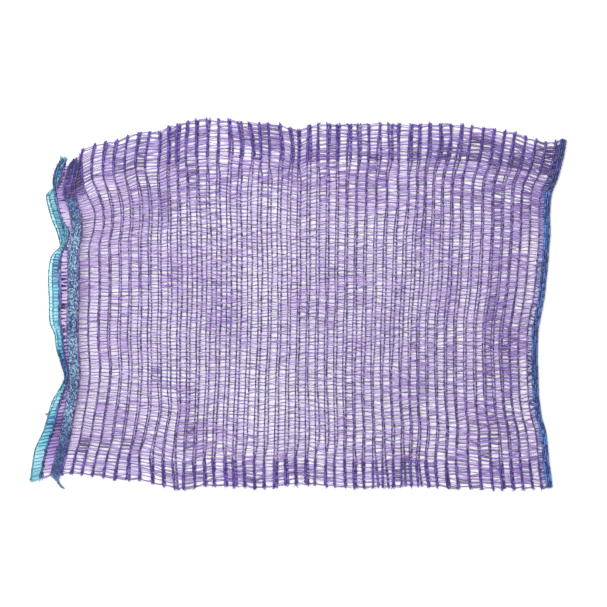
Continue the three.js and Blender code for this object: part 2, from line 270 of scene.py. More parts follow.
def plan(place, height, lip):
    """X and Y where a crosswise line meets a height, and how wide the bag's strip is there.

    A place of 0 is the lip, 1 and 2 are the drawstring's sides, and 3 and 4 those of the bottom edge.
    """
    string = BAG_LENGTH * (follow(STRING_LINE, height) - 0.5)
    bottom = BAG_LENGTH * (0.5 - follow(BOTTOM_LINE, height))
    lines = np.array([
        BAG_LENGTH * (follow(lip, height) - 0.5),
        string - STRING_WIDTH / 2,
        string + STRING_WIDTH / 2,
        bottom - BOTTOM_EDGE_WIDTH,
        bottom,
    ])
    line = np.clip(place.astype(int), 0, 3)
    before = np.take_along_axis(lines, line[None], 0)[0]
    after = np.take_along_axis(lines, line[None] + 1, 0)[0]
    x = before + (after - before) * (place - line)
    share = np.clip(place - 2, 0, 1)
    by_string = 1 - ease(share / STRING_REACH) - (1 - share)
    by_bottom = np.clip(1 - (1 - share) / BOTTOM_REACH, 0, 1) ** BOTTOM_FADE - share
    x += (lines[2] - NET_START) * by_string + (lines[3] - NET_END) * by_bottom + follow(NET_SPREAD, share)
    low, high = side_ys(x)
    return x, low + (high - low) * height, after - before


def front_rise(place, height, loose_plan):
    """How far the middle of the upper layer lies above the table."""
    across = np.clip((height * COURSES - SEAM_LOW) / (SEAM_HIGH - SEAM_LOW), 0, 1)
    arch = 4 * across * (1 - across)
    along = np.clip(place - 2, 0, 1)
    fall = 1 - along**ARCH_FALL
    rise = ARCH_HEIGHT * arch * fall
    for *spot, share in PUCKERS:
        rise += ARCH_HEIGHT * share * nearness(along, across, *spot) * np.sqrt(arch) * fall
    slack = np.sqrt(np.maximum(LOOSE_EDGE_WIDTH**2 - loose_plan**2, 0))
    rise += RUFFLE_SHARE * slack * np.clip(1 - place, 0, 1) * np.sqrt(arch)
    return CLOTH * 1.5 + CLEARANCE + rise


def ripple(rows, columns, row_step, column_step):
    """A smooth random field from -1 to 1, with humps about this many rows and columns apart."""
    coarse = rng.uniform(-1, 1, (rows // row_step + 3, columns // column_step + 3))
    r = np.linspace(0, coarse.shape[0] - 1.001, rows)
    c = np.linspace(0, coarse.shape[1] - 1.001, columns)
    i, j = r.astype(int), c.astype(int)
    down = coarse[i] + (coarse[i + 1] - coarse[i]) * ease(r - i)[:, None]
    return down[:, j] + (down[:, j + 1] - down[:, j]) * ease(c - j)[None]


# The chains, as places between those lines, in the selvedge, the channel, the bottom edge and the net.
SELVEDGE_CHAINS = [0.0, 0.16, 0.475]
CHANNEL_CHAINS = [0.59, 0.985, 1.33, 1.67]
EDGE_CHAINS = [3.54, 3.75, 3.93]
net_chains = [2.002 + 0.998 * k / NET_COLUMNS for k in range(NET_COLUMNS + 1)]
chain_places = np.array(SELVEDGE_CHAINS + CHANNEL_CHAINS + net_chains + EDGE_CHAINS)
FIRST_CHANNEL = len(SELVEDGE_CHAINS)
FIRST_NET = FIRST_CHANNEL + len(CHANNEL_CHAINS)
LAST_NET = FIRST_NET + NET_COLUMNS
LAST_CHAIN = len(chain_places) - 1
# How far the lower layer's chains lie beside the upper one's, in columns, along the net.
LAYER_OFFSET = [(0.0, 0.1), (0.2, 0.24), (0.35, 0.36), (0.5, 0.34), (0.64, 0.28), (0.85, 0.26), (1.0, 0.2)]
# Where they lie midway between them: X and Y of the middle, spread each way, and how many columns further.
MIDWAY = (-0.070, 0.048, 0.078, 0.062)
MIDWAY_FURTHER = 0.19
COLUMN_WIDTH = 0.0108
# How far the upper layer's selvedge is tucked under, at shares of the bag's height, and up to which place.
TUCK = [(0.0, 0.0), (0.72, 0.0), (0.775, 0.9), (0.89, 0.85), (0.93, 0.0), (1.0, 0.0)]
TUCK_REACH = 0.6
# Where the thin inner chain of the selvedge lies on the outer one, and the channel's first on the navy one.
SETTLED = [(0.0, 0.85), (0.16, 0.85), (0.22, 0.0), (1.0, 0.0)]
SETTLED_DROP = 0.0011
LOWEST_CHAIN = 0.0006
BACK_HEIGHT = CLOTH * 0.55
# How unevenly it lies, in metres: how far the chains wander, their stitches jog, the side bands pull them
# about, the courses waver, and the cut ends differ, over the last few courses.
WANDER = 0.0008
JOG = 0.00025
BAND_WANDER = 0.0015
COURSE_WAVER = 0.0005
CUT_UNEVEN = 0.0012
CUT_COURSES = 4
# The side bands' pull fades out over this many courses. The net evens out within a twelfth of its length at
# its ends, and its gathers end within a fortieth of it at the mouth.
BAND_FADE_COURSES = 6
NET_FADE = 12
GATHER_FADE = 40
# How many columns the lower layer's chains stray, and at most lie beside the upper one's in the side bands.
STRAY = 0.14
BAND_OFFSET = 0.3


def stitch_places(is_front):
    """Where each course of each chain lies, as an array of chains by courses by X, Y, Z."""
    lip = FRONT_LIP if is_front else BACK_LIP
    place, course = np.meshgrid(chain_places, np.arange(COURSES + 1), indexing="ij")
    settled = follow(SETTLED, course / COURSES)
    place[1] *= 1 - settled[1]
    place[FIRST_CHANNEL] -= (CHANNEL_CHAINS[0] - SELVEDGE_CHAINS[-1]) * settled[FIRST_CHANNEL]
    if is_front:
        place = np.where(place < TUCK_REACH, place * (1 - follow(TUCK, course / COURSES)), place)
    rough_x = plan(place, course / COURSES, lip)[0]
    height = course_height(rough_x, course)
    x, y, loose_plan = plan(place, height, lip)
    z = front_rise(place, height, loose_plan) if is_front else np.full_like(x, BACK_HEIGHT)
    z[FIRST_CHANNEL] -= SETTLED_DROP * settled[FIRST_CHANNEL]
    z[FIRST_CHANNEL] = np.maximum(z[FIRST_CHANNEL], LOWEST_CHAIN)
    in_net = ease((place - 2) * NET_FADE) * ease((3 - place) * NET_FADE)
    past_low = ease((course - SEAM_LOW) / BAND_FADE_COURSES)
    open_part = past_low * ease((SEAM_HIGH - course) / BAND_FADE_COURSES)
    x += WANDER * ripple(*x.shape, 6, 12) * in_net + JOG * ripple(*x.shape, 1, 4)
    x += BAND_WANDER * ripple(*x.shape, 1, 10) * in_net * (1 - open_part)
    drawn = np.zeros_like(x)
    for *spot, shift in GATHERS:
        drawn += shift * nearness(x, y, *spot)
    x += drawn * ease((place - 2) * GATHER_FADE) * ease((3 - place) * NET_FADE)
    if not is_front:
        beside = follow(LAYER_OFFSET, np.clip(place - 2, 0, 1)) + STRAY * ripple(*x.shape, 5, 18)
        beside += MIDWAY_FURTHER * nearness(x, y, *MIDWAY)
        seam_beside = rng.uniform(0.0, BAND_OFFSET, (len(x), 1))
        x += COLUMN_WIDTH * (seam_beside + (beside - seam_beside) * open_part) * in_net
    y += COURSE_WAVER * ripple(*x.shape, 2, 6)
    uneven = rng.uniform(-CUT_UNEVEN, CUT_UNEVEN, (2, len(x), 1))
    at_low = ease(1 - course / CUT_COURSES)
    at_high = ease((course - COURSES + CUT_COURSES) / CUT_COURSES)
    y += (uneven[0] * at_low + uneven[1] * at_high) * in_net
    return np.stack([x, y, z], axis=-1)


back_stitches = stitch_places(False)
front_stitches = stitch_places(True)
LAYERS = {"back": back_stitches, "front": front_stitches}

# The film tapes of the net.
# Flat lilac polyethylene tape, slit from film and laid by the machine from chain to chain, one tape a
# course. Each is folded along an edge as it is drawn in, and some are twisted to a dark line.
TAPE_SEGMENTS = 4
TAPE_STRIPS = 3
FOLD_WIDTH = 0.0007
FOLD_SHARE = 0.4
# How often the fold is on one edge of the tape and on the other.
FOLD_SIDES = [0.2, 0.8]
TWISTED_WIDTH = (0.0005, 0.0009)
# How high the tape lies, from its folded edge to its other edge, and how far its middle sags or stands up.
FILM_LIFT = [0.00005, 0.00025, 0.0001, -0.0001]
FILM_SAG = (-0.0002, 0.0004)
LOWEST_FILM = 0.0001
# How far the tapes lean, in courses: in a zigzag, less in the first columns, and outwards at the cut.
ZIGZAG = 0.22
STEADY_SHARE = 0.45
STEADY_COLUMNS = 16
CUT_PULL = 0.2
# How far a tape bows, and how much more it does in the last courses before the cut, where most are twisted.
BOW = 0.0003
CUT_BOW = (-0.0004, 0.0022)
BOW_COURSES = 3
CUT_TWISTED = 0.7
CUT_WIDER = 1.7
# How bunched the film is: everywhere, in soft spots, in larger patches, and from tape to tape. Twisted tape
# is dark, and a tape's middle strip is paler than its edges.
BUNCH_BASE = 0.25
BUNCH_SPOTS = 1.1
BUNCH_PATCHES = 1.6
BUNCH_NOISE = 0.1
TWISTED_TONE = 0.9
FLAT_TONE = 0.5
# Where the film is drawn together: X and Y of the middle, spread each way, in metres, and how densely.
# Negative amounts make it paler: the two at the selvedge, near X -0.294 and -0.268, are painted highlight as
# well as paler film.
BUNCHES = [
    (-0.239, -0.157, 0.006, 0.007, 0.9), (-0.215, -0.158, 0.006, 0.007, 0.8),
    (-0.190, -0.159, 0.006, 0.006, 0.8), (-0.271, -0.131, 0.006, 0.010, 1.3),
    (-0.045, 0.188, 0.030, 0.012, 0.4), (0.216, -0.012, 0.010, 0.020, 0.4),
    (0.290, 0.165, 0.014, 0.028, 1.1), (-0.246, 0.140, 0.009, 0.024, 0.6),
    (-0.249, 0.152, 0.006, 0.016, 1.0), (-0.251, 0.132, 0.005, 0.010, 1.0),
    (0.231, -0.020, 0.012, 0.160, 0.12), (0.205, 0.000, 0.080, 0.250, 0.12),
    (-0.100, 0.160, 0.090, 0.030, 0.18), (0.150, 0.155, 0.110, 0.034, 0.24),
    (-0.118, -0.140, 0.010, 0.050, 0.52), (0.250, 0.150, 0.030, 0.050, 0.16),
    (-0.050, 0.000, 0.060, 0.120, -0.13), (-0.235, -0.050, 0.020, 0.060, -0.1),
    (0.239, -0.050, 0.020, 0.045, 0.36), (0.096, -0.035, 0.018, 0.022, 0.2),
    (0.130, -0.125, 0.018, 0.040, 0.2), (-0.119, -0.144, 0.018, 0.022, 0.2),
    (-0.083, 0.185, 0.018, 0.026, -0.45), (-0.048, -0.060, 0.020, 0.080, -0.2),
    (-0.160, 0.140, 0.050, 0.050, 0.12), (0.225, -0.155, 0.045, 0.035, 0.18),
    (-0.266, -0.068, 0.012, 0.022, 0.9), (0.005, 0.143, 0.034, 0.030, 0.13),
    (0.262, 0.110, 0.018, 0.030, 0.14), (0.165, 0.178, 0.026, 0.022, 0.34),
    (-0.158, 0.105, 0.022, 0.028, 0.14), (-0.276, -0.165, 0.008, 0.030, 0.35),
    (-0.294, -0.175, 0.008, 0.030, -0.3), (-0.268, 0.085, 0.012, 0.040, -0.15),
    (0.223, 0.085, 0.0055, 0.070, 0.34), (-0.268, 0.152, 0.006, 0.022, 0.7),
    (-0.012, 0.050, 0.018, 0.100, 0.12), (0.242, -0.182, 0.024, 0.016, 0.28),
    (0.275, 0.178, 0.016, 0.018, 0.3), (-0.010, 0.188, 0.014, 0.014, -0.3),
    (0.214, -0.085, 0.0055, 0.055, 0.5), (0.121, -0.187, 0.010, 0.014, 0.45),
    (0.171, -0.062, 0.0055, 0.022, 0.3), (-0.024, -0.193, 0.006, 0.010, 0.5),
    (-0.070, 0.142, 0.095, 0.020, 0.28), (-0.165, 0.178, 0.044, 0.022, 0.38),
    (-0.190, -0.145, 0.050, 0.024, 0.22), (-0.160, -0.080, 0.006, 0.012, 0.45),
    (-0.104, 0.120, 0.008, 0.020, 0.3), (-0.139, 0.030, 0.006, 0.026, 0.3),
]


def copies(name, unit, count):
    """One object that holds this many copies of a bmesh, one after the other. The bmesh is used up."""
    mesh = bpy.data.meshes.new(name)
    unit.to_mesh(mesh)
    unit.free()
    piece = shown(name, mesh)
    array = piece.modifiers.new("copies", "ARRAY")
    array.count = count
    array.use_relative_offset = False
    evaluated = piece.evaluated_get(bpy.context.evaluated_depsgraph_get())
    piece.data = bpy.data.meshes.new_from_object(evaluated)
    piece.modifiers.clear()
    bpy.data.meshes.remove(mesh)
    piece.data.name = name
    return piece


def read_points(piece, count):
    """The points of a piece of copies, as an array of copies by points by X, Y, Z."""
    points = np.zeros(len(piece.data.vertices) * 3, np.float32)
    piece.data.vertices.foreach_get("co", points)
    return points.reshape(count, -1, 3).astype(float)


def write_points(piece, points, smooth=True):
    """Puts the points back."""
    piece.data.vertices.foreach_set("co", points.astype(np.float32).ravel())
    piece.data.polygons.foreach_set("use_smooth", np.full(len(piece.data.polygons), smooth))
    piece.data.update()


def give_tone(piece, values, domain):
    """The attribute that the materials read for how dark or bunched the film is, and on the chains for their
    painted highlight.
    """
    tone = piece.data.attributes.new("tone", "FLOAT", domain)
    tone.data.foreach_set("value", values.astype(np.float32).ravel())


def at_course(stitches, chain, course):
    """Points on chains at courses that may lie between two."""
    course = np.clip(course, 0, COURSES)
    low = np.minimum(course.astype(int), COURSES - 1)
    before = stitches[chain, low]
    return before + (stitches[chain, low + 1] - before) * (course - low)[..., None]


def lay_tapes(
    name,
    stitches,
    chains,
    courses,
    width=0.0027,
    twisted=0.15,
    bunching=0.3,
    spread=0.3,
    folded=(0.65, 1.0),
    pinch=0.4,
    rise=0.0,
    by_column=0.1,
    vary=(0.55, 1.3),
):
    """The tapes between neighbouring chains, from the first to the last of `chains` and of `courses`.

    `twisted` is the share that is twisted, `spread` how far their ends stray along the chains, in courses,
    `folded` how dark the fold is, `pinch` how narrow the ends may be, and `vary` how the width varies.
    """
    columns = chains[1] - chains[0]
    rows = courses[1] - courses[0]
    count = columns * rows
    unit = bmesh.new()
    bmesh.ops.create_grid(unit, x_segments=TAPE_SEGMENTS, y_segments=TAPE_STRIPS, size=0.5)
    piece = copies(name, unit, count)
    points = read_points(piece, count)
    along = points[..., 0] + 0.5
    strip = np.rint((points[..., 1] + 0.5) * TAPE_STRIPS).astype(int)

    chain = chains[0] + np.arange(count) // rows
    course = courses[0] + np.arange(count) % rows + 0.5
    spread = spread * (STEADY_SHARE + (1 - STEADY_SHARE) * ease((chain - FIRST_NET) / STEADY_COLUMNS))
    fan = spread * ripple(columns, rows, 1, 5).ravel()
    fan += ZIGZAG * ripple(columns, rows, 2, 8).ravel() * (-1.0) ** np.arange(count)
    from_cut = np.minimum(course, COURSES - course)
    outward = np.sign(course - COURSES / 2)
    pull = CUT_PULL * outward * (from_cut < 1)
    start = at_course(stitches, chain, course - fan + spread * rng.uniform(-1, 1, count) + pull)
    end = at_course(stitches, chain + 1, course + fan + spread * rng.uniform(-1, 1, count) + pull)
    is_twisted = rng.random(count) < np.where(from_cut < 1, CUT_TWISTED, twisted)
    middle = np.where(is_twisted, rng.uniform(*TWISTED_WIDTH, count), width * rng.uniform(*vary, count))
    middle[is_twisted & (from_cut < 1)] *= CUT_WIDER
    ends = middle[:, None] * rng.uniform(pinch, 1.0, (count, 2))
    wide = ends[:, :1] + (ends[:, 1:] - ends[:, :1]) * along
    wide += (middle[:, None] - wide) * 4 * along * (1 - along)
    fold = np.minimum(FOLD_WIDTH, FOLD_SHARE * wide)
    film = (wide - fold) / 2
    edges = [0, fold, fold + film]
    across = -wide / 2 + np.select([strip == 0, strip == 1, strip == 2], edges, fold + 2 * film)
    across *= rng.choice([-1, 1], count, p=FOLD_SIDES)[:, None]
    lift = np.choose(strip, FILM_LIFT)
    bowed = ease((BOW_COURSES - from_cut) / BOW_COURSES) ** 2 * outward
    bow = rng.uniform(-BOW, BOW, count) + bowed * rng.uniform(*CUT_BOW, count)
    hump = 4 * along * (1 - along)
    placed = start[:, None] + (end - start)[:, None] * along[..., None]
    placed[..., 1] += across + bow[:, None] * hump
    placed[..., 2] += lift + rise + rng.uniform(*FILM_SAG, count)[:, None] * hump
    placed[..., 2] = np.maximum(placed[..., 2], LOWEST_FILM)
    write_points(piece, placed, smooth=False)

    bunch = 0.5 + 0.5 * ripple(columns, rows, 1, 9).ravel()
    patches = np.maximum(ripple(columns, rows, 3, 12), 0).ravel()
    bunch = bunching * (BUNCH_BASE + BUNCH_SPOTS * bunch**2 + BUNCH_PATCHES * patches)
    bunch += rng.uniform(-BUNCH_NOISE, BUNCH_NOISE, count)
    bunch += by_column * np.repeat(rng.uniform(-1, 1, columns), rows)
    x, y = (start[:, 0] + end[:, 0]) / 2, (start[:, 1] + end[:, 1]) / 2
    for *spot, amount in BUNCHES:
        bunch += amount * nearness(x, y, *spot)
    tone = np.repeat(np.where(is_twisted, TWISTED_TONE, bunch)[:, None], TAPE_SEGMENTS * TAPE_STRIPS, 1)
    strip_of_face = np.arange(TAPE_SEGMENTS * TAPE_STRIPS) // TAPE_SEGMENTS
    tone[:, strip_of_face == 1] *= FLAT_TONE
    is_fold = strip_of_face == 0
    tone[:, is_fold] = np.maximum(tone[:, is_fold], rng.uniform(*folded, (count, 1)))
    give_tone(piece, np.clip(tone, 0, 1), "FACE")
    return piece


# The film's fine creases are about 4 mm long and 0.4 mm wide: this many a metre along the tape and across.
CREASES_ALONG = 260
CREASES_ACROSS = 2600
# The tones at which it looks as it usually does and bunched, how much of what lies under it the densest film
# hides, and how much of its light has come through it.
USUAL_TONE = 0.3
BUNCHED_TONE = 0.65
DENSEST = 0.95
GLOW_SHARE = 0.35
FILM_ROUGHNESS = 0.34
PLASTIC_IOR = 1.51


def plastic(tree, roughness, links):
    """The surface of polyethylene, which gleams more softly the rougher it is."""
    return node(tree, "ShaderNodeBsdfPrincipled", {"Roughness": roughness, "IOR": PLASTIC_IOR}, links)


def film_tape(name, pale, usual, bunched, folded, clearest):
    """Thin slit film: it shows what lies under it, gleams, and is darker where it is bunched or folded."""
    material, tree = new_material(name)
    tone = node(tree, "ShaderNodeAttribute", {"attribute_name": "tone"})
    colours = node(tree, "ShaderNodeValToRGB", links={"Fac": tone.outputs["Fac"]})
    ramp = colours.color_ramp.elements
    ramp[0].color, ramp[1].color = linear(pale), linear(folded)
    ramp.new(USUAL_TONE).color = linear(usual)
    ramp.new(BUNCHED_TONE).color = linear(bunched)
    cover = node(
        tree, "ShaderNodeMapRange", {"To Min": clearest, "To Max": DENSEST}, {"Value": tone.outputs["Fac"]}
    )
    where = node(tree, "ShaderNodeTexCoord")
    streaks = node(
        tree,
        "ShaderNodeMapping",
        {"Scale": (CREASES_ALONG, CREASES_ACROSS, CREASES_ALONG)},
        {"Vector": where.outputs["Object"]},
    )
    creases = node(
        tree, "ShaderNodeTexNoise", {"Scale": 1.0, "Detail": 2.0}, {"Vector": streaks.outputs[0]}
    )
    relief = node(
        tree, "ShaderNodeBump", {"Strength": 0.2, "Distance": 0.0002}, {"Height": creases.outputs[0]}
    )
    gloss = plastic(tree, FILM_ROUGHNESS, {"Base Color": colours.outputs[0], "Normal": relief.outputs[0]})
    glow = node(tree, "ShaderNodeBsdfTranslucent", links={"Color": colours.outputs[0]})
    film = node(tree, "ShaderNodeMixShader", {0: GLOW_SHARE}, {1: gloss.outputs[0], 2: glow.outputs[0]})
    clear = node(tree, "ShaderNodeBsdfTransparent")
    surface = node(
        tree, "ShaderNodeMixShader", links={0: cover.outputs[0], 1: clear.outputs[0], 2: film.outputs[0]}
    )
    node(tree, "ShaderNodeOutputMaterial", links={"Surface": surface.outputs[0]})
    return material


# The net's lilac film is so clear that a single tape only tints the white table.
lilac_film = film_tape(
    "lilac polyethylene film tape", "#f0dffe", "#c1a0e5", "#835dbd", "#4b396c", clearest=0.24
)


def finish_piece(piece, material, slot, *nodes):
    """Gives a piece its material and hides the solids that it takes the place of. The slot is not used."""
    piece.data.materials.append(material)
    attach(piece, "root")
    if nodes:
        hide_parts(*nodes)


NET_ROWS = (SEAM_LOW, SEAM_HIGH)
ALL_ROWS = (0, COURSES)
NET_SPAN = (FIRST_NET, LAST_NET)
net_film = {}
for layer, stitches in LAYERS.items():
    net_film[layer] = lay_tapes(f"{layer}_net_tapes", stitches, NET_SPAN, NET_ROWS)
    finish_piece(net_film[layer], lilac_film, "violet_net", f"{layer}_net")

# The chains of the net.
# Each is one violet film yarn, knitted into a chain of pillar stitches that holds the tapes' ends.
# The yarn is twisted, so a chain looks like a thin knobbly cord.
CHAIN_SIDES = 6
RINGS_PER_STITCH = 3
# A stitch's size at its neck and how much more at its middle, and how that varies by stitch and by chain.
NECK_SIZE = 0.74
LOOP_SIZE = 0.38
STITCH_VARIES = 0.14
CHAIN_VARIES = (0.85, 1.15)
# How far the flat cord turns over as it goes, in radians, and how quickly, in radians a course.
CORD_TURN = 0.45
CORD_TURN_RATE = 1.7
# How pale the painted highlight along the middle of a cord can get. It fades to the yarn's dark colour at
# the cord's sides.
CORD_HIGHLIGHT = 1.4


def cord(rings):
    """A straight cord with this many rings, to be copied and placed."""
    unit = bmesh.new()
    bmesh.ops.create_cone(unit, cap_ends=True, segments=CHAIN_SIDES, radius1=1, radius2=1, depth=1)
    lengthwise = [e for e in unit.edges if abs(e.verts[0].co.z - e.verts[1].co.z) > 0.5]
    bmesh.ops.subdivide_edges(unit, edges=lengthwise, cuts=rings - 1, use_grid_fill=True)
    return unit


def knit_chains(name, stitches, chains, courses, thick=0.0018, thin=0.0012, rise=0.0):
    """The listed chains, as flattened cords that narrow where one stitch is drawn through the next."""
    rings = (courses[1] - courses[0]) * RINGS_PER_STITCH
    count = len(chains)
    piece = copies(name, cord(rings), count)
    points = read_points(piece, count)
    ring = np.rint((points[..., 2] + 0.5) * rings)
    course = courses[0] + ring / RINGS_PER_STITCH
    stitch = course.astype(int)
    which = np.arange(count)[:, None]
    loop = NECK_SIZE + LOOP_SIZE * np.sin(np.pi * (course - stitch))
    size = loop * (1 + STITCH_VARIES * rng.uniform(-1, 1, (count, COURSES + 2))[which, stitch])
    size *= rng.uniform(*CHAIN_VARIES, (count, 1))
    turn = CORD_TURN * np.sin(CORD_TURN_RATE * course + rng.uniform(0, 2 * np.pi, (count, 1)))
    flat = points[..., 0] * thick / 2 * size
    deep = points[..., 1] * thin / 2 * size
    placed = at_course(stitches, np.array(chains)[:, None] + np.zeros_like(stitch), course)
    placed[..., 0] += flat * np.cos(turn) - deep * np.sin(turn)
    placed[..., 2] += flat * np.sin(turn) + deep * np.cos(turn) + rise
    placed[..., 2] = np.maximum(placed[..., 2], LOWEST_FILM)
    write_points(piece, placed)
    # Painted highlight: each stitch is paler along the cord's middle, and some stitches much more than
    # others, at random.
    pale = rng.uniform(0, 1, (count, COURSES + 2))[which, stitch] ** 2
    give_tone(piece, (1 - np.abs(points[..., 0])) * CORD_HIGHLIGHT * pale, "POINT")
    return piece


# The yarn's flecks are about 1.1 mm long, this many a metre.
FLECKS = 900.0
YARN_ROUGHNESS = 0.42


def chain_yarn(name, dark, light):
    """Twisted film yarn: denser and darker than flat tape, and paler where its tone is high. On the chains
    that is a painted highlight along each cord's middle.
    """
    material, tree = new_material(name)
    tone = node(tree, "ShaderNodeAttribute", {"attribute_name": "tone"})
    where = node(tree, "ShaderNodeTexCoord")
    fibres = node(
        tree, "ShaderNodeTexNoise", {"Scale": FLECKS, "Detail": 2.0}, {"Vector": where.outputs["Object"]}
    )
    mixed = node(
        tree, "ShaderNodeMath", {"operation": "MULTIPLY"}, {0: tone.outputs["Fac"], 1: fibres.outputs[0]}
    )
    colours = node(tree, "ShaderNodeValToRGB", links={"Fac": mixed.outputs[0]})
    colours.color_ramp.elements[0].color = linear(dark)
    colours.color_ramp.elements[1].color = linear(light)
    colours.color_ramp.elements[1].position = 0.5
    relief = node(
        tree, "ShaderNodeBump", {"Strength": 0.5, "Distance": 0.0003}, {"Height": fibres.outputs[0]}
    )
    surface = plastic(tree, YARN_ROUGHNESS, {"Base Color": colours.outputs[0], "Normal": relief.outputs[0]})
    node(tree, "ShaderNodeOutputMaterial", links={"Surface": surface.outputs[0]})
    return material


violet_yarn = chain_yarn("violet film yarn", "#3b2860", "#8d72b8")
NET_CHAINS = range(FIRST_NET, LAST_NET + 1)
for layer, stitches in LAYERS.items():
    cords = knit_chains(f"{layer}_net_chains", stitches, NET_CHAINS, NET_ROWS)
    finish_piece(cords, violet_yarn, "violet_net")

# The side bands.
# Along both sides the machine knits the two layers together. The tapes of both are there, and their chains
# lie doubled as thick dark bars. The bag was cut from its neighbours there, so every chain ends in a tuft.
dense_yarn = chain_yarn("doubled violet yarn", "#321d6b", "#6c4fab")
BANDS = {"lower_side": (0, SEAM_LOW), "upper_side": (SEAM_HIGH, COURSES)}
BAR_WIDTH = 0.0029
BAR_DEPTH = 0.0018
# A tuft has hairs, wide slips and, between them, stubs of cut film.
TUFT_BLADES = 8
TUFT_HAIRS = 2
TUFT_SLIPS = 2
HAIR_LENGTH = (0.002, 0.008)
SLIP_LENGTH = (0.0028, 0.0052)
STUB_LENGTH = (0.0008, 0.0024)
HAIR_WIDTH = 0.0005
SLIP_WIDTH = (0.0014, 0.0024)
STUB_WIDTH = (0.0008, 0.0016)
# How far a tuft and each of its blades lean, in radians, and how steeply the blades rise and how they taper.
TUFT_LEAN = 0.5
BLADE_LEAN = 0.55
BLADE_RISE = (-0.2, 0.4)
BLADE_TAPER = 0.85
# How deep in the chain they start, and how far beside its middle.
TUFT_DEPTH = 0.0012
TUFT_HALF_WIDTH = 0.0007


def cut_ends(name, stitches, chains, is_upper):
    """The tufts of cut film at the chains' ends: a few tapering slips each."""
    count = len(chains) * TUFT_BLADES
    unit = bmesh.new()
    bmesh.ops.create_grid(unit, x_segments=2, y_segments=1, size=0.5)
    piece = copies(name, unit, count)
    points = read_points(piece, count)
    along = points[..., 0] + 0.5
    side = np.sign(points[..., 1])
    chain = np.repeat(np.array(chains), TUFT_BLADES)
    root = stitches[chain, COURSES if is_upper else 0]
    blade = np.arange(count) % TUFT_BLADES
    kinds = [blade < TUFT_HAIRS, blade >= TUFT_BLADES - TUFT_SLIPS]
    lengths = [rng.uniform(*HAIR_LENGTH, count), rng.uniform(*SLIP_LENGTH, count)]
    length = np.select(kinds, lengths, rng.uniform(*STUB_LENGTH, count))
    widths = [HAIR_WIDTH, rng.uniform(*SLIP_WIDTH, count)]
    width = np.select(kinds, widths, rng.uniform(*STUB_WIDTH, count))
    lean = np.repeat(rng.normal(0, TUFT_LEAN, len(chains)), TUFT_BLADES) + rng.normal(0, BLADE_LEAN, count)
    out = 1 if is_upper else -1
    way = np.stack([np.sin(lean), out * np.cos(lean), rng.uniform(*BLADE_RISE, count)], axis=-1)
    aside = np.stack([np.cos(lean), -out * np.sin(lean), np.zeros(count)], axis=-1)
    width = width[:, None] * (1 - BLADE_TAPER * along) * side / 2
    beside = rng.uniform(-TUFT_HALF_WIDTH, TUFT_HALF_WIDTH, count)[:, None]
    placed = root[:, None] + way[:, None] * (length[:, None] * along - TUFT_DEPTH)[..., None]
    placed += aside[:, None] * (width + beside)[..., None]
    placed[..., 2] = np.maximum(placed[..., 2], LOWEST_FILM)
    write_points(piece, placed, smooth=False)
    give_tone(piece, np.repeat(rng.uniform(0, 1, count), points.shape[1]), "POINT")
    return piece


for band, rows in BANDS.items():
    for layer, stitches in LAYERS.items():
        film = lay_tapes(f"{band}_{layer}_tapes", stitches, NET_SPAN, rows, bunching=0.4, by_column=0.3)
        finish_piece(film, lilac_film, "doubled_net", f"{band}_band")
        name = f"{band}_{layer}_chains"
        bars = knit_chains(name, stitches, NET_CHAINS, rows, thick=BAR_WIDTH, thin=BAR_DEPTH)
        finish_piece(bars, dense_yarn, "doubled_net")
        tufts = cut_ends(f"{band}_{layer}_tufts", stitches, NET_CHAINS, band == "upper_side")
        finish_piece(tufts, dense_yarn, "doubled_net")

# The channel behind the mouth.
# Five columns of mauve film, laid closer than the net's: a narrow one, a wide one, and three that lie under
# the drawstring. At the upper side band these lie on top of it too, bunched and dark, and close the channel
# over its turned-over end. The mauve film hides most of the table.
mauve_film = film_tape(
    "mauve polyethylene film tape", "#efe2fb", "#c3a7e5", "#8c6cbd", "#4a3078", clearest=0.78
)
CHANNEL_ROWS = (0, COURSES - 2)
CHANNEL_TAPE_WIDTH = 0.0033
CHANNEL_VARIES = (0.7, 1.25)
# The columns that cover the drawstring, by their first chain, and over which courses.
COVERS = {FIRST_NET - 3: (87, 95), FIRST_NET - 2: (88, 97), FIRST_NET - 1: (86, COURSES)}
COVER_TAPE_WIDTH = 0.0036
COVER_CHAIN_WIDTH = 0.0022
COVER_RISE = 0.0019
for layer, stitches in LAYERS.items():
    channel_span = (FIRST_CHANNEL - 1, FIRST_NET)
    name = f"{layer}_channel_tapes"
    sizes = {"width": CHANNEL_TAPE_WIDTH, "vary": CHANNEL_VARIES}
    film = lay_tapes(name, stitches, channel_span, CHANNEL_ROWS, twisted=0.09, **sizes)
    finish_piece(film, mauve_film, "violet_net", f"{layer}_channel_strip")
    channel_chains = range(FIRST_CHANNEL, FIRST_NET)
    cords = knit_chains(f"{layer}_channel_chains", stitches, channel_chains, CHANNEL_ROWS)
    finish_piece(cords, violet_yarn, "violet_net")
for chain, rows in COVERS.items():
    cover = lay_tapes(
        f"front_channel_cover_{FIRST_NET - chain}",
        front_stitches,
        (chain, chain + 1),
        rows,
        width=COVER_TAPE_WIDTH,
        twisted=0.2,
        bunching=1.4,
        rise=COVER_RISE,
    )
    finish_piece(cover, lilac_film, "doubled_net")
    name = f"front_cover_chains_{FIRST_NET - chain}"
    sizes = {"thick": COVER_CHAIN_WIDTH, "rise": COVER_RISE}
    cover_cords = knit_chains(name, front_stitches, [chain, chain + 1], rows, **sizes)
    finish_piece(cover_cords, dense_yarn, "doubled_net")

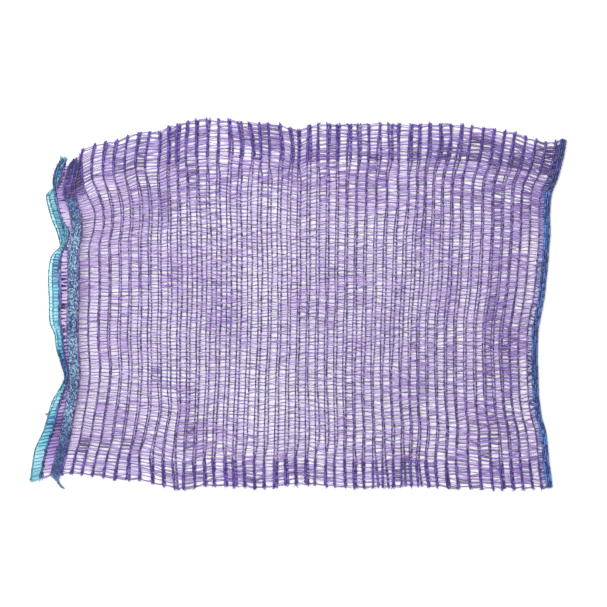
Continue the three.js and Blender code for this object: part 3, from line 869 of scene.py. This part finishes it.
# The selvedge at the mouth.
# A firm edge of nearly opaque cyan film, laid so close that no table shows between the tapes. Two thin teal
# chains and a thick navy one hold it. Where the edge is turned, navy yarn lies outermost.
cyan_film = film_tape(
    "cyan polyethylene film tape", "#d2f8fb", "#7dd1e4", "#2f8fb4", "#1d4a94", clearest=0.8
)
teal_yarn = chain_yarn("teal film yarn", "#125463", "#5aa9b4")
navy_yarn = chain_yarn("navy film yarn", "#14295a", "#4a78b0")
SELVEDGE_TAPE_WIDTH = 0.0048
THIN_CHAIN_WIDTH = 0.0016
THICK_CHAIN_WIDTH = 0.0030
TURNED_CHAIN_WIDTH = 0.0023
TURNED_RISE = 0.0014
TURNED_ROWS = {"middle": (27, 37), "upper": (88, COURSES)}
# How bunched the film is in the outer and the inner column.
SELVEDGE_BUNCHING = (0.12, 0.5)
for layer, stitches in LAYERS.items():
    for column, bunching in enumerate(SELVEDGE_BUNCHING):
        film = lay_tapes(
            f"{layer}_selvedge_tapes_{column}",
            stitches,
            (column, column + 1),
            ALL_ROWS,
            width=SELVEDGE_TAPE_WIDTH,
            twisted=0.0,
            bunching=bunching,
            spread=0.2,
            folded=(0.6, 0.95),
            pinch=0.9,
            vary=(0.8, 1.2),
        )
        finish_piece(film, cyan_film, "cyan_selvedge", f"{layer}_selvedge")
    name = f"{layer}_selvedge_thin_chains"
    thin_chains = knit_chains(name, stitches, [0, 1], ALL_ROWS, thick=THIN_CHAIN_WIDTH)
    finish_piece(thin_chains, teal_yarn, "cyan_selvedge")
    name = f"{layer}_selvedge_thick_chain"
    thick_chain = knit_chains(name, stitches, [2], ALL_ROWS, thick=THICK_CHAIN_WIDTH)
    finish_piece(thick_chain, navy_yarn, "cyan_selvedge")
    for side in ("lower", "upper"):
        ends = cut_ends(f"{layer}_selvedge_{side}_ends", stitches, range(FIRST_CHANNEL), side == "upper")
        finish_piece(ends, teal_yarn, "cyan_selvedge")
for part, rows in TURNED_ROWS.items():
    name = f"front_selvedge_turned_{part}"
    sizes = {"thick": TURNED_CHAIN_WIDTH, "rise": TURNED_RISE}
    turned = knit_chains(name, front_stitches, [0, 1], rows, **sizes)
    finish_piece(turned, navy_yarn, "cyan_selvedge")

# The joined edge at the bottom.
# Both layers end there in the same firm edge: blue film between close blue chains. At the upper corner, over
# the side band, thick indigo yarn lies on them. The blue film lets a little of the table show through.
blue_film = film_tape(
    "blue polyethylene film tape", "#e4dffa", "#a79fe0", "#6762b8", "#2a286c", clearest=0.7
)
blue_yarn = chain_yarn("blue film yarn", "#16265f", "#4a7cc0")
indigo_yarn = chain_yarn("indigo film yarn", "#191650", "#454f9e")
BOTTOM_SPAN = (LAST_NET, LAST_CHAIN)
BOTTOM_CHAINS = range(LAST_NET + 1, LAST_CHAIN + 1)
BOTTOM_TAPE_WIDTH = 0.0030
BOTTOM_CHAIN_WIDTH = 0.0026
BOTTOM_CHAIN_DEPTH = 0.0017
CORNER_ROWS = (85, COURSES)
CORNER_CHAIN_WIDTH = 0.0027
CORNER_RISE = 0.0005
for layer, stitches in LAYERS.items():
    name = f"{layer}_bottom_tapes"
    film = lay_tapes(name, stitches, BOTTOM_SPAN, ALL_ROWS, width=BOTTOM_TAPE_WIDTH, bunching=0.5)
    finish_piece(film, blue_film, "blue_edge", "bottom_edge")
    name = f"{layer}_bottom_chains"
    sizes = {"thick": BOTTOM_CHAIN_WIDTH, "thin": BOTTOM_CHAIN_DEPTH}
    cords = knit_chains(name, stitches, BOTTOM_CHAINS, ALL_ROWS, **sizes)
    finish_piece(cords, blue_yarn, "blue_edge")
sizes = {"thick": CORNER_CHAIN_WIDTH, "rise": CORNER_RISE}
corner = knit_chains("front_corner_chains", front_stitches, BOTTOM_CHAINS, CORNER_ROWS, **sizes)
finish_piece(corner, indigo_yarn, "blue_edge")

# The drawstring.
# A flat tape of its own, knitted from teal, navy and pale film so tightly that it looks speckled. It runs
# across both layers behind their selvedges, ends in a cut tail below and is turned over at its upper end.
STRING_WALES = 5
STRING_ROWS = 224
STRING_RISE = 0.0008
STRING_MIDDLE = 1.5
TAIL_ROWS = 9
TAIL_LENGTH = 0.015
TAIL_LEAN = 0.008
TAIL_TIP = 0.0024
TAIL_TAPER = 1.8
TAIL_DROP = 0.75
TURNOVER_ROWS = 6
TURNOVER_RISE = 0.0012
TURNOVER_DARKER = 0.6
PEAK_ROWS = 5
PEAK_ACROSS = -0.2
# The stitches of a pair lie half a wale apart. Each is this long, wide and high from its middle, up to this
# many rows out of its row, leans this much, in radians, and lies up to this much higher.
PAIR_SPREAD = 0.5
STITCH_LENGTH = (0.0010, 0.0015)
STITCH_WIDTH = (0.0005, 0.0008)
STITCH_HEIGHT = 0.0005
STITCH_SHIFT = 0.15
STITCH_LEAN = (0.25, 0.6)
STITCH_LIFT = 0.0003
# How the three yarns are mixed: the spread of tones, and patches of them, this many rows long.
YARN_MIX = (1.1, 1.2)
PATCH_ROWS = 15
PATCH_TONE = 0.12
TAIL_TONE = (0.2, 0.6)
STRING_ROUGHNESS = 0.45
# Where the tape's tone changes: from which share of it, over what share, and how pale before and after.
SHADES = [(0.045, 0.17, 0.42, 1.0), (0.72, 0.12, 1.0, 0.7), (0.85, 0.05, 1.0, 0.5)]


def on_string(row, across, is_front):
    """Points on the drawstring, counted in its own rows, at -1 to 1 across it, its mouth side first."""
    height = np.clip(row / STRING_ROWS, 0, 1)
    tail = np.clip(-row / TAIL_ROWS, 0, 1)
    place = STRING_MIDDLE + across / 2
    x, y, loose_plan = plan(place, height, FRONT_LIP if is_front else BACK_LIP)
    middle = plan(np.full_like(place, STRING_MIDDLE), height, FRONT_LIP)
    narrow = 1 - ease(tail * TAIL_TAPER) * (1 - TAIL_TIP / STRING_WIDTH)
    x = np.where(tail > 0, middle[0] + TAIL_LEAN * tail**2 + across * narrow * STRING_WIDTH / 2, x)
    y = np.where(tail > 0, middle[1], y) - TAIL_LENGTH * tail
    z = front_rise(place, height, loose_plan) if is_front else np.full_like(x, BACK_HEIGHT)
    z = z * (1 - TAIL_DROP * tail) + STRING_RISE
    return np.stack([x, y, z], axis=-1)


def knit_string(name, is_front):
    """The tape's stitches: leaf-shaped loops in pairs, which lean to either side as knitting does."""
    rows = np.arange(-TAIL_ROWS if is_front else 0, STRING_ROWS)
    row, wale, side = np.meshgrid(rows, np.arange(STRING_WALES), [-1, 1], indexing="ij")
    row, wale, side = row.ravel().astype(float), wale.ravel(), side.ravel()
    across = (2 * wale + 1 + PAIR_SPREAD * side) / STRING_WALES - 1
    is_kept = row < STRING_ROWS - PEAK_ROWS * np.abs(across - PEAK_ACROSS)
    row, across, side = row[is_kept], across[is_kept], side[is_kept]
    turned = row > STRING_ROWS - 1 - PEAK_ROWS - TURNOVER_ROWS if is_front else np.zeros(len(row), bool)
    row, across, side = (np.concatenate([values, values[turned]]) for values in (row, across, side))
    lifted = np.concatenate([np.zeros(len(turned)), np.ones(turned.sum())])
    count = len(row)
    unit = bmesh.new()
    bmesh.ops.create_icosphere(unit, subdivisions=1, radius=1)
    piece = copies(name, unit, count)
    points = read_points(piece, count)
    row = row + rng.uniform(-STITCH_SHIFT, STITCH_SHIFT, count)
    centre = on_string(row, across, is_front)
    onward = on_string(row + 0.5, across, is_front) - on_string(row - 0.5, across, is_front)
    onward /= np.linalg.norm(onward, axis=-1, keepdims=True)
    aside = np.stack([onward[:, 1], -onward[:, 0], np.zeros(count)], axis=-1)
    tilt = (side * rng.uniform(*STITCH_LEAN, count))[:, None]
    length = rng.uniform(*STITCH_LENGTH, count)[:, None, None]
    width = rng.uniform(*STITCH_WIDTH, count)[:, None, None]
    long_axis = onward * np.cos(tilt) + aside * np.sin(tilt)
    wide_axis = aside * np.cos(tilt) - onward * np.sin(tilt)
    placed = centre[:, None] + long_axis[:, None] * points[..., :1] * length
    placed += wide_axis[:, None] * points[..., 1:2] * width
    raised = lifted[:, None] * TURNOVER_RISE + rng.uniform(0, STITCH_LIFT, (count, 1))
    placed[..., 2] += points[..., 2] * STITCH_HEIGHT + raised
    write_points(piece, placed)
    patch_rows = np.arange(0, STRING_ROWS, PATCH_ROWS)
    patches = np.interp(row, patch_rows, rng.uniform(-PATCH_TONE, PATCH_TONE, len(patch_rows)))
    tone = rng.beta(*YARN_MIX, count) + patches
    for start, span, before, after in SHADES:
        tone *= before + (after - before) * ease((row / STRING_ROWS - start) / span)
    tone *= 1 - TURNOVER_DARKER * lifted
    tone = np.where(row < 0, rng.uniform(*TAIL_TONE, count), tone)
    give_tone(piece, np.repeat(np.clip(tone, 0, 1), points.shape[1]), "POINT")
    return piece


def speckled_yarn():
    """Teal, navy and pale film knitted together: each stitch shows one of them, so the tape is speckled."""
    material, tree = new_material("speckled teal yarn")
    tone = node(tree, "ShaderNodeAttribute", {"attribute_name": "tone"})
    colours = node(tree, "ShaderNodeValToRGB", links={"Fac": tone.outputs["Fac"]})
    ramp = colours.color_ramp.elements
    ramp[0].color, ramp[1].color = linear("#262556"), linear("#b0cad9")
    ramp.new(0.3).color = linear("#3f5285")
    ramp.new(0.6).color = linear("#628aa9")
    surface = plastic(tree, STRING_ROUGHNESS, {"Base Color": colours.outputs[0]})
    node(tree, "ShaderNodeOutputMaterial", links={"Surface": surface.outputs[0]})
    return material


string_yarn = speckled_yarn()
for layer in LAYERS:
    tape = knit_string(f"{layer}_drawstring_stitches", layer == "front")
    finish_piece(tape, string_yarn, "teal_tape", f"{layer}_drawstring")

# The loose ends at the mouth.
# Where the selvedge's teal yarns were tied off and cut they end in small knots and hairs, and one longer
# thread stands out of the upper corner.
THREAD_RINGS = 48
THREAD_STEP = 0.01
THREAD_TONES = (0, 0.6)
LONG_THREAD_WIDTH = 0.0009
HAIR_THREAD_WIDTH = 0.0005
KNOT_THREAD_WIDTH = 0.0010
# Each knot's X, Y and radius. Its thread winds through points this many radians apart, and swings in Y and Z
# at other rates than in X, over other shares of the radius.
KNOTS = [(-0.2822, -0.1226, 0.0015), (-0.2806, 0.1226, 0.0020), (-0.2985, -0.1845, 0.0010)]
KNOT_POINTS = 16
KNOT_STEP = 2.4
KNOT_RATE_Y = 1.3
KNOT_RATE_Z = 2.1
KNOT_REACH_Y = 1.1
KNOT_REACH_Z = 0.8
KNOT_HEIGHT = 1.3
# The points that each thread goes through, the longest one first.
THREADS = [
    [
        (-0.2660, 0.1520, 0.0030), (-0.2682, 0.1585, 0.0045), (-0.2665, 0.1640, 0.0040),
        (-0.2674, 0.1675, 0.0030),
    ],
    [(-0.2696, 0.1548, 0.0030), (-0.2716, 0.1573, 0.0032), (-0.2729, 0.1579, 0.0025)],
    [(-0.2722, 0.1497, 0.0030), (-0.2742, 0.1521, 0.0032), (-0.2756, 0.1526, 0.0025)],
    [(-0.2742, 0.1438, 0.0030), (-0.2762, 0.1460, 0.0032), (-0.2776, 0.1463, 0.0025)],
    [(-0.2900, -0.1925, 0.0020), (-0.2899, -0.1960, 0.0024), (-0.2906, -0.1985, 0.0015)],
]


def loose_thread(name, through, thick):
    """A round thread through a few points."""
    piece = copies(name, cord(THREAD_RINGS), 1)
    points = read_points(piece, 1)[0]
    share = points[:, 2] + 0.5
    stations = np.linspace(0, 1, len(through))
    tables = [list(zip(stations, values)) for values in zip(*through)]
    steps = [np.clip(share + step, 0, 1) for step in (0, -THREAD_STEP, THREAD_STEP)]
    on_path, before, after = (np.stack([follow(table, at) for table in tables], axis=-1) for at in steps)
    onward = (after - before) / np.linalg.norm(after - before, axis=-1, keepdims=True)
    aside = np.cross(onward, (0.0, 0.0, 1.0))
    upward = np.cross(aside, onward)
    placed = on_path + (aside * points[:, :1] + upward * points[:, 1:2]) * thick / 2
    write_points(piece, placed[None])
    give_tone(piece, rng.uniform(*THREAD_TONES, len(points)), "POINT")
    return piece


for number, through in enumerate(THREADS):
    thick = HAIR_THREAD_WIDTH if number else LONG_THREAD_WIDTH
    thread = loose_thread(f"loose_thread_{number}", through, thick)
    finish_piece(thread, teal_yarn, "cyan_selvedge")
for number, (x, y, radius) in enumerate(KNOTS):
    turn = np.arange(KNOT_POINTS) * KNOT_STEP
    knot_x = x + radius * np.cos(turn)
    knot_y = y + KNOT_REACH_Y * radius * np.sin(KNOT_RATE_Y * turn)
    knot_z = radius * (KNOT_HEIGHT + KNOT_REACH_Z * np.sin(KNOT_RATE_Z * turn))
    winding = list(zip(knot_x, knot_y, knot_z))
    knot = loose_thread(f"selvedge_knot_{number}", winding, KNOT_THREAD_WIDTH)
    finish_piece(knot, teal_yarn, "cyan_selvedge")
